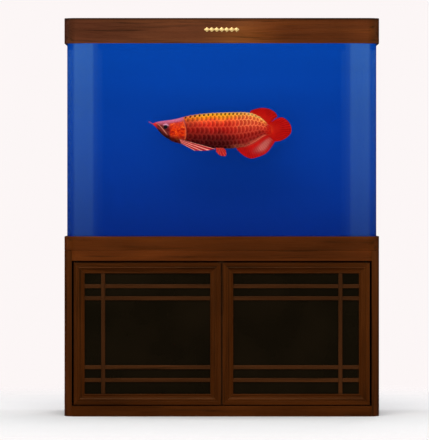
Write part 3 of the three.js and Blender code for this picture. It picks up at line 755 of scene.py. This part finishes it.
def smooth_steps(keys, values, at):
    """Values at `at` on a smooth curve through (keys, values)."""
    slopes = np.gradient(values, keys)
    i = np.clip(np.searchsorted(keys, at) - 1, 0, len(keys) - 2)
    width = keys[i + 1] - keys[i]
    t = (at - keys[i]) / width
    first = (1 + 2 * t) * (1 - t) ** 2 * values[i] + t * (1 - t) ** 2 * width * slopes[i]
    second = t * t * (3 - 2 * t) * values[i + 1] + t * t * (t - 1) * width * slopes[i + 1]
    return first + second


def smoothstep(value, start, end):
    t = np.clip((value - start) / (end - start), 0, 1)
    return t * t * (3 - 2 * t)


def ridge(distance, width):
    """A smooth ridge that is 1 where the distance is 0."""
    return np.exp(-((distance / width) ** 2))


def scale_field(along, row):
    """Where each point lies on its own scale: scales overlap, each covered by those nearer the head.

    Returns the distance to the rim, the scale's tone, the places rearward and aside, and the row's number.
    """
    foremost = np.full(along.shape, np.inf)
    own = np.zeros((5, *along.shape))
    reach_along, reach_row = 0.98, 0.64
    for dj in (-1, 0, 1):
        j = np.round(row) + dj
        shift = 0.5 * np.mod(j, 2)
        for di in (-2, -1, 0, 1):
            i = np.floor(along - shift) + di
            centre = i + shift
            du, dv = (along - centre) / reach_along, (row - j) / reach_row
            far = np.sqrt(du * du + dv * dv)
            tone = np.mod(np.sin(i * 12.9898 + j * 78.233) * 43758.5453, 1.0)
            inside = (far < 1) & (centre < foremost)
            foremost = np.where(inside, centre, foremost)
            own = np.where(inside, [far, tone, du, np.abs(dv), j], own)
    return own


def fish_body():
    across, around = 440, 208
    x = STATIONS[0, 0] + (STATIONS[-1, 0] - STATIONS[0, 0]) * np.linspace(0, 1, across) ** 1.15
    back, belly, width = (smooth_steps(STATIONS[:, 0], STATIONS[:, k], x)[:, None] for k in (1, 2, 3))
    phi = np.linspace(0, math.tau, around, endpoint=False)
    out_y = np.sign(np.sin(phi)) * np.abs(np.sin(phi)) ** 0.92
    out_z = np.sign(np.cos(phi)) * np.abs(np.cos(phi)) ** 0.96
    half = 0.5 * (back - belly)
    X = np.repeat(x[:, None], around, 1)
    Y = width * out_y[None, :]
    Z = 0.5 * (back + belly) + half * out_z[None, :]
    up = (Z - belly) / np.maximum(2 * half, 1e-6)

    turn = np.minimum(phi, math.tau - phi) / math.pi
    row = np.repeat(turn[None, :] * SCALE_ROWS, across, 0)
    # Scales get shorter towards the tail.
    along = (X - SCALES_START) / SCALE_LENGTH
    along = along + 0.012 * np.clip(along, 0, None) ** 2
    rim, tone, rearward, aside, own_row = scale_field(along, row)
    gill = -156 + 14 * np.cos((up - 0.42) * 3.2)
    scales = smoothstep(X, gill - 1, gill + 5) * (1 - smoothstep(X, SCALES_END - 14, SCALES_END - 2))

    # The gill cover stands proud of the body behind it, and the eye sits in a shallow socket.
    below_crown = 1 - smoothstep(up, 0.78, 0.9)
    plate = smoothstep(X, -217, -205) * (1 - smoothstep(X, gill - 5, gill + 1)) * below_crown
    jaw_line = -275 + 76 * (0.9 - up)
    jaw = ridge(X - jaw_line, 3.0) * (X < -208) * smoothstep(up, 0.15, 0.3) * below_crown
    eye_far = np.hypot(X - EYE[0], Z - EYE[1])
    seam = ridge(X - gill + 4, 2.4) * smoothstep(up, 0.12, 0.22) * (1 - smoothstep(up, 0.84, 0.94))
    offset = scales * (1.6 * np.clip(rearward, -0.2, 1) - 1.0 * smoothstep(rim, 0.9, 1.0))
    offset = offset + 2.2 * plate - 1.5 * jaw - 2.0 * np.exp(-((eye_far / 10.0) ** 4)) + 0.8 * seam
    fluting = np.sin(X * 0.5 + 2.4 * np.sin(Z * 0.11)) * np.sin(Z * 0.32 + X * 0.12)
    offset = offset + 0.5 * fluting * plate
    normal_y, normal_z = out_y[None, :] / np.maximum(width, 1), out_z[None, :] / np.maximum(half, 1)
    long = np.maximum(np.hypot(normal_y, normal_z), 1e-6)
    offset = offset * smoothstep(X, -280, -262)
    Y, Z = Y + offset * normal_y / long, Z + offset * normal_z / long

    shape = on_fish(np.stack([X, Y, Z], -1).reshape(-1, 3)), tube(across, around)
    piece = new_piece("arowana_scaled_body", shape, "skin", "fish_skin", ["arowana"])
    # Painted shadow at the roots of the scales, under the rims of the scales ahead, in a row along the back.
    comb = ridge(rearward - 0.16, 0.16) * (1 - smoothstep(aside, 0.5, 1.0))
    comb = np.clip(1.6 * comb, 0, 1) * np.select([own_row == 1, own_row == 2], [1.0, 0.4], 0.08)
    comb = comb * (1 - 0.6 * smoothstep(X, 60, 130))
    store_fields(piece, up=up, rim=rim, tone=tone, comb=comb, scaled=scales, plate=plate, jaw=jaw, seam=seam)
    front, snout = 1 - smoothstep(X, -160, -50), 1 - smoothstep(X, -272, -258)
    store_fields(piece, front=front, snout=snout, eye=1 - smoothstep(eye_far, 10.5, 17))
    store_fields(piece, rear=smoothstep(X, 10, 120), root=smoothstep(X, 168, 196))


def store_fields(piece, **fields):
    """Stores numbers per point, for the materials to read."""
    for name, field in fields.items():
        store = piece.data.attributes.new(name, "FLOAT", "POINT")
        store.data.foreach_set("value", np.asarray(field, np.float32).reshape(-1))


# Colours from belly to back as (height, red, green, blue), on three stretches of the body and on the head.
# Over the fish's own colours they hold painted light from above on the back and painted shade towards the
# belly.
SKIN_SHADES = {
    "middle": [
        (0.0, 64, 10, 14), (0.22, 78, 8, 12), (0.36, 112, 9, 15), (0.52, 168, 8, 12), (0.66, 208, 28, 18),
        (0.78, 242, 72, 26), (0.87, 255, 142, 8), (0.95, 255, 184, 18), (1.0, 236, 180, 110),
    ],
    "front": [
        (0.0, 58, 8, 12), (0.3, 104, 5, 8), (0.52, 132, 8, 4), (0.68, 168, 28, 12), (0.8, 206, 62, 22),
        (0.9, 240, 120, 20), (1.0, 206, 104, 112),
    ],
    "rear": [
        (0.0, 236, 118, 100), (0.1, 150, 34, 34), (0.3, 152, 20, 20), (0.45, 190, 40, 32),
        (0.62, 220, 66, 46), (0.8, 226, 84, 48), (0.92, 240, 142, 66), (1.0, 250, 206, 150),
    ],
    "head": [
        (0.0, 26, 4, 8), (0.14, 66, 10, 18), (0.32, 120, 36, 46), (0.5, 96, 16, 28), (0.68, 110, 26, 42),
        (0.8, 158, 66, 104), (0.93, 212, 116, 178),
    ],
}


def fish_skin():
    """Scales with bright rims, partly painted highlight, and painted shadow at their roots, a scarlet gill
    cover and a rosy head.
    """
    s = Shader("arowana_skin")
    up, rim, rear, plate = map(s.field, ("up", "rim", "rear", "plate"))
    cloud = s.noise(scale=26.0)
    speck = s.noise(scale=230.0, detail=2.0)
    height = s.math("ADD", up, s.spread(cloud, -0.04, 0.04))

    # Ramps from belly to back, with painted light on the back and painted shade towards the belly.
    middle, front, behind = (s.shades(height, *SKIN_SHADES[part]) for part in ("middle", "front", "rear"))
    skin = s.mix(s.field("front"), middle, front)
    skin = s.mix(rear, skin, behind)
    skin = s.tint(skin, s.range(s.field("tone"), 0.0, 1.0, 0.84, 1.14))
    skin = s.tint(skin, s.range(rim, 0.35, 0.85, 0.8, 1.12, smooth=True))
    # Paler scale rims: their own colour with a painted highlight, strongest on the upper back and towards the
    # tail.
    pale_rim_and_painted_highlight = s.times(s.range(rim, 0.78, 0.92, smooth=True), s.range(rear, 0.0, 1.0, 0.2, 0.85))
    pale_rim_and_painted_highlight = s.times(pale_rim_and_painted_highlight, s.range(up, 0.08, 0.5, 0.1, 1.0))
    pale_rim_and_painted_highlight = s.times(pale_rim_and_painted_highlight, s.range(s.field("front"), 0.0, 1.0, 1.0, 0.4))
    belly, crown = [(0.2, 140, 40, 50), (0.5, 232, 112, 90)], [(0.75, 255, 176, 122), (0.9, 255, 226, 120)]
    skin = s.mix(pale_rim_and_painted_highlight, skin, s.shades(up, *belly, *crown))
    # A thin painted shadow along each scale's edge, cast on the scale beneath.
    skin = s.mix(s.times(s.range(rim, 0.94, 0.995), 0.5), skin, rgb(70, 10, 10))
    # Painted shadow at the scales' roots, mostly in the top rows.
    skin = s.mix(s.field("comb"), skin, rgb(40, 6, 4))

    speckled = s.math("ADD", height, s.spread(speck, -0.05, 0.05))
    head = s.shades(speckled, *SKIN_SHADES["head"])
    flecks = s.noise(s.place((1.0, 1.0, 1.7)), scale=75.0, detail=3.0, roughness=0.7)
    cover = s.shades(flecks, (0.32, 150, 8, 2), (0.48, 200, 26, 4), (0.6, 236, 74, 8), (0.72, 255, 150, 30))
    head = s.mix(s.times(plate, s.range(up, 0.1, 0.36, 0.1, 1.0, smooth=True)), head, cover)
    head = s.mix(s.field("snout"), head, rgb(206, 34, 44))
    head = s.mix(s.times(s.field("jaw"), 0.75), head, rgb(232, 162, 158))
    # A painted highlight in a crescent above the eye.
    painted_eye_highlight = s.times(s.field("eye"), s.range(up, 0.66, 0.78, smooth=True))
    head = s.mix(painted_eye_highlight, head, rgb(222, 172, 236))
    colour = s.mix(s.field("scaled"), head, skin)
    colour = s.mix(s.field("root"), colour, rgb(190, 18, 10))
    colour = s.mix(s.times(s.field("seam"), 0.8), colour, rgb(232, 104, 70))
    colour = s.tint(colour, (1.03, 0.84, 0.62, 1.0))
    gloss = s.range(rim, 0.5, 1.0, 0.24, 0.4)
    return s.finish(colour, gloss, s.bump(speck, 0.1, 0.0005), 0.3, Specular_Tint=(1.0, 0.6, 0.35, 1.0))


def fin_skin():
    """A deep red web between slightly paler rays; `pale` marks the stretches that are pink."""
    s = Shader("arowana_fin")
    ray, out, pale = map(s.field, ("ray", "out", "pale"))
    cloud = s.noise(scale=40.0)
    web = s.shades(out, (0.0, 216, 70, 30), (0.22, 196, 22, 10), (0.6, 168, 2, 5), (1.0, 160, 4, 8))
    web = s.mix(pale, web, rgb(168, 4, 26))
    crest = s.mix(s.range(pale, 0.3, 0.9), rgb(206, 22, 14), rgb(255, 160, 146))
    colour = s.mix(s.range(ray, 0.2, 0.8, 0.0, 0.9), web, crest)
    colour = s.tint(colour, s.spread(cloud, 0.76, 1.08))
    return s.finish(colour, 0.4, s.bump(ray, 0.25, 0.0006), 0.04, Specular_Tint=(1.0, 0.5, 0.4, 1.0))


def spaced(points, count):
    """`count` evenly spaced points on a smooth line through the given ones."""
    points = np.array(points, float)
    step = np.concatenate([[0], np.cumsum(np.linalg.norm(np.diff(points, axis=0), axis=1))])
    at = np.linspace(0, step[-1], count)
    return np.stack([smooth_steps(step, points[:, k], at) for k in range(points.shape[1])], -1)


def fin(name, root, rim, rays, thick=1.3, ripple=2.0, pale=0.0, root_pale=0.0, spot=None):
    """A fin from its root line to its rim; `spot` is a pink place as (along the root, outwards, size)."""
    per_ray, steps = 8, 16
    count = rays * per_ray + 1
    a, b = spaced(root, count), spaced(rim, count)
    outward = np.linspace(0, 1, steps)
    phase = np.arange(count) / per_ray
    crest = 0.5 + 0.5 * np.cos(math.tau * phase)
    sheets = []
    for face in (1, -1):
        grid = a[:, None] + (b - a)[:, None] * outward[None, :, None]
        body = 0.5 * thick * (1 - 0.75 * outward)[None, :] * (0.5 + 0.7 * crest[:, None])
        wave = ripple * np.sin(phase[:, None] * 0.9 + 1.7 * outward[None, :]) * outward[None, :]
        grid[..., 1] += face * body + wave
        sheets.append(grid.reshape(-1, 3))
    n = count * steps

    def quad(i, j, base):
        ring = (i * steps + j, (i + 1) * steps + j, (i + 1) * steps + j + 1, i * steps + j + 1)
        return tuple(base + v for v in (ring[::-1] if base else ring))

    faces = [quad(i, j, base) for base in (0, n) for i in range(count - 1) for j in range(steps - 1)]
    border = [i * steps for i in range(count)]
    border += [(count - 1) * steps + j for j in range(1, steps)]
    border += [i * steps + steps - 1 for i in range(count - 2, -1, -1)]
    border += list(range(steps - 2, 0, -1))
    faces += [(p, q, q + n, p + n) for p, q in zip(border, border[1:] + border[:1])]
    piece = new_piece(name, (on_fish(np.concatenate(sheets)), faces), "fin", "fish_skin")
    along, far = np.meshgrid(np.linspace(0, 1, count), outward, indexing="ij")
    pink = pale + root_pale * (1 - smoothstep(far, 0.04, 0.16))
    if spot:
        pink = pink + ridge(np.hypot(along - spot[0], far - spot[1]), spot[2])
    ray = np.repeat(crest[:, None] ** 2, steps, 1)
    ray, out, pink = (np.tile(field.reshape(-1), 2) for field in (ray, far, np.clip(pink, 0, 1)))
    store_fields(piece, ray=ray, out=out, pale=pink)


def eyeball(name, side):
    """An eye's ball, a little flattened from side to side."""
    bm = bmesh.new()
    bmesh.ops.create_uvsphere(bm, u_segments=32, v_segments=20, radius=1.0)
    unit, faces = taken(bm)
    ball = np.array((EYE[0], side * 11.5, EYE[1])) + np.array((9.5, 6.0, 9.5)) * unit
    new_piece(name, (on_fish(ball), sorted(faces)), "eye", "fish_skin")


def eye_skin():
    """A dark pupil in a thin gold and violet iris, seen from either side."""
    s = Shader("arowana_eye")
    x, _, z = map(float, on_fish((EYE[0], 0.0, EYE[1])))
    far = s.measure("DISTANCE", s.place((1, 0, 1)), (x, 0.0, z))
    streak = s.noise(scale=900.0)
    far = s.math("ADD", far, s.spread(streak, -0.0004, 0.0004))
    outward = s.range(far, 0.0, 0.0095)
    iris = [(0.74, 86, 26, 24), (0.86, 52, 20, 44), (0.97, 24, 8, 20)]
    colour = s.shades(outward, (0.0, 4, 3, 8), (0.66, 10, 5, 14), *iris)
    return s.finish(colour, 0.08, Coat_Weight=1.0, Coat_Roughness=0.02)


def barbel(name, points, radius):
    """A tapered feeler along a smooth line, as a closed tube."""
    line = spaced(points, 26)
    sides = 10
    rings = []
    for i, spot in enumerate(line):
        ahead = line[min(i + 1, len(line) - 1)] - line[max(i - 1, 0)]
        ahead /= np.linalg.norm(ahead)
        across = np.cross(ahead, (0, 1, 0))
        across /= np.linalg.norm(across)
        upward = np.cross(across, ahead)
        size = radius * (1 - 0.8 * i / len(line))
        for k in range(sides):
            angle = math.tau * k / sides
            rings.append(spot + size * (math.cos(angle) * across + math.sin(angle) * upward))
    new_piece(name, (on_fish(rings), tube(len(line), sides)), "fin", "fish_skin")


def upright(pairs):
    """Points in the fish's middle plane from (along, up)."""
    return [(x, 0.0, z) for x, z in pairs]


def arowana():
    M.update(skin=fish_skin(), fin=fin_skin(), eye=eye_skin())
    fish_body()
    root = upright([(112, 82), (140, 73), (165, 54), (190, 33)])
    rim = [(120, 96), (144, 104), (170, 107), (198, 101), (222, 84), (228, 72), (214, 58), (204, 46)]
    fin("arowana_dorsal_fin", root, upright(rim), 15)
    root = upright([(58, -57), (95, -51), (130, -34), (165, -10), (194, 2)])
    rim = [(66, -74), (88, -94), (116, -108), (148, -102), (182, -86), (206, -56), (219, -32), (212, -10)]
    fin("arowana_anal_fin", root, upright(rim), 22, pale=0.3, root_pale=0.6, spot=(0.66, 0.6, 0.17))
    root = upright([(186, 36), (194, 22), (194, 8), (188, -7)])
    rim = [(200, 42), (222, 60), (246, 67), (268, 54), (284, 28)]
    rim += [(285, 4), (268, -18), (244, -32), (218, -35), (206, -26)]
    fin("arowana_tail_fin", root, upright(rim), 20)
    for side, hand in ((-1, "near"), (1, "far")):
        root = [(-172, side * 20, -26), (-168, side * 21, -35), (-166, side * 18, -43)]
        rim = [(-24, side * 38, -68), (-60, side * 41, -74), (-112, side * 36, -74)]
        fin(f"arowana_pectoral_fin_{hand}", root, rim, 3, thick=2.6, ripple=1.0, pale=0.9)
        root = [(-22, side * 9, -60), (-8, side * 9, -62), (6, side * 9, -62)]
        rim = [(-22, side * 16, -80), (-4, side * 19, -96), (18, side * 19, -96), (18, side * 15, -74)]
        fin(f"arowana_pelvic_fin_{hand}", root, rim, 5, ripple=1.0, pale=0.4)
        eyeball(f"arowana_eye_{hand}", side)
        line = [(-277, side * 3, 37), (-285, side * 6, 41), (-292, side * 9, 46), (-299, side * 11, 46)]
        barbel(f"arowana_barbel_{hand}", line, 1.5)


arowana()


# ---- floor, lights and camera
PALE = (0.974, 0.922, 0.922, 1.0)
MIDDLE = (0.0, 0.0, 0.85)  # the height at which the camera stands and the side lights aim


def floor():
    """A pale floor that fades into the pale surround a few metres from the object."""
    s = Shader("studio_floor")
    s.finish((0.93, 0.9, 0.9, 1.0), 0.9, specular=0.1)
    fades, gone = 0.9, 2.6  # metres from the middle
    away = s.range(s.measure("LENGTH", s.place()), fades, gone, smooth=True)
    blend = s.add("MixShader", {0: away, 1: s.surface.outputs[0], 2: s.add("BsdfTransparent")})
    s.tree.links.new(blend, s.output.inputs["Surface"])
    sides, reach = 96, 40.0
    mesh = bpy.data.meshes.new("studio_floor")
    turns = [math.tau * i / sides for i in range(sides)]
    ring = [(reach * math.cos(turn), reach * math.sin(turn), 0.0) for turn in turns]
    mesh.from_pydata(ring, [], [tuple(range(sides))])
    mesh.materials.append(s.material)
    below = (0, 0, CAD_BOX[0][2] - 0.2 * MM)
    placed("studio_floor", mesh, location=below, visible_glossy=False, visible_transmission=False)


def surround():
    """Pale where it is seen, dim where it lights or is mirrored."""
    world = bpy.context.scene.world = put(bpy.data.worlds.new("studio"), use_nodes=True)
    nodes = Nodes(world.node_tree)
    nodes.tree.nodes.clear()
    seen = nodes.add("Background", {0: PALE, 1: 1.0})
    ambient = nodes.add("Background", {0: (0.9, 0.94, 1.0, 1.0), 1: 0.35})
    mirrored = nodes.add("Background", {0: (0.8, 0.88, 1.0, 1.0), 1: 0.01})
    lights = nodes.add("LightPath", output="Is Diffuse Ray")
    light = nodes.add("MixShader", {0: lights, 1: seen, 2: ambient})
    reflected = nodes.math("GREATER_THAN", nodes.add("LightPath", output="Glossy Depth"), 0.5)
    light = nodes.add("MixShader", {0: reflected, 1: light, 2: mirrored})
    nodes.fill(nodes.tree.nodes.new("ShaderNodeOutputWorld"), {0: light})


def area_light(name, place, target, size, power, colour=(1, 1, 1), mirrored=True):
    """A soft box; one that isn't mirrored lights things without showing in glass or lacquer."""
    light = put(bpy.data.lights.new(name, "AREA"), shape="RECTANGLE", energy=power, color=colour)
    light.size, light.size_y = size
    turn = (Vector(target) - Vector(place)).to_track_quat("-Z", "Y").to_euler()
    lamp = placed(name, light, location=place, rotation_euler=turn, visible_camera=False)
    put(lamp, visible_glossy=mirrored, visible_transmission=mirrored)
    return light


def fade(light, across, up):
    """Feathers a soft box, by a ramp (start, end, least, power) along its width and one along its height."""
    light.use_nodes = True
    nodes = Nodes(light.node_tree)
    share = nodes.add("NewGeometry", output="Parametric")
    ramps = []
    for axis, (start, end, least, power) in (("X", across), ("Y", up)):
        place = nodes.add("SeparateXYZ", {0: share}, output=axis)
        ramps.append(nodes.math("POWER", nodes.range(place, start, end, least), power))
    emission = next(node for node in nodes.tree.nodes if node.type == "EMISSION")
    nodes.fill(emission, {"Strength": nodes.times(*ramps)})


def strips(side, hand):
    """Two low soft boxes that the bent glass mirrors as one pale band, which fades inwards and downwards."""
    cool, height = (0.5, 1.0, 0.85), 0.75
    upward = (0.34, 0.89, 0.2, 1.0)
    for name, place, aim, size, power, across in (
        ("front", (1.617, -3.18), (0.696, -0.324), (2.21, 1.9), 8.4, (0.0, 0.3, 0.0, 0.33)),
        ("side", (3.545, -0.92), (0.8, 0.3), (4.2, 1.9), 16, (1.0, 0.72, 0.0, 1.0)),
    ):
        place, aim = ((side * x, y, height) for x, y in (place, aim))
        if side < 0:
            across = (1 - across[0], 1 - across[1], *across[2:])
        fade(area_light(f"strip_{name}_{hand}", place, aim, size, power, cool), across, upward)


def camera():
    """Straight in front and far off, with the framing held by the lens and a small shift."""
    low, high = CAD_BOX
    distance, sensor = 16.0, 36.0
    share = 0.71682  # of the picture's longer side that the object's width takes
    lens = sensor * share * distance / (high[0] - low[0])
    data = bpy.data.cameras.new("camera")
    put(data, sensor_width=sensor, lens=lens, shift_x=-0.0165, shift_y=-0.0613)
    spot, turn = (0.0, low[1] - distance, MIDDLE[2]), (math.radians(90), 0, 0)
    bpy.context.scene.camera = placed("camera", data, location=spot, rotation_euler=turn)


camera()
floor()
surround()
area_light("front_fill", (0.0, -5.2, 1.5), (0, 0, 0.95), (3.6, 2.4), 134, mirrored=False)
area_light("key_above", (-0.5, -2.9, 3.3), (0, -0.2, 0.8), (2.6, 1.2), 50, (1.0, 0.97, 0.93))
for side, hand in ((-1, "left"), (1, "right")):
    strips(side, hand)
    area_light(f"side_{hand}", (side * 3.8, 0.6, 2.0), MIDDLE, (1.8, 1.8), 60, mirrored=False)
area_light("back", (0.6, 4.2, 2.2), MIDDLE, (2.4, 1.8), 90, mirrored=False)
bpy.context.scene.view_settings.view_transform = "Standard"
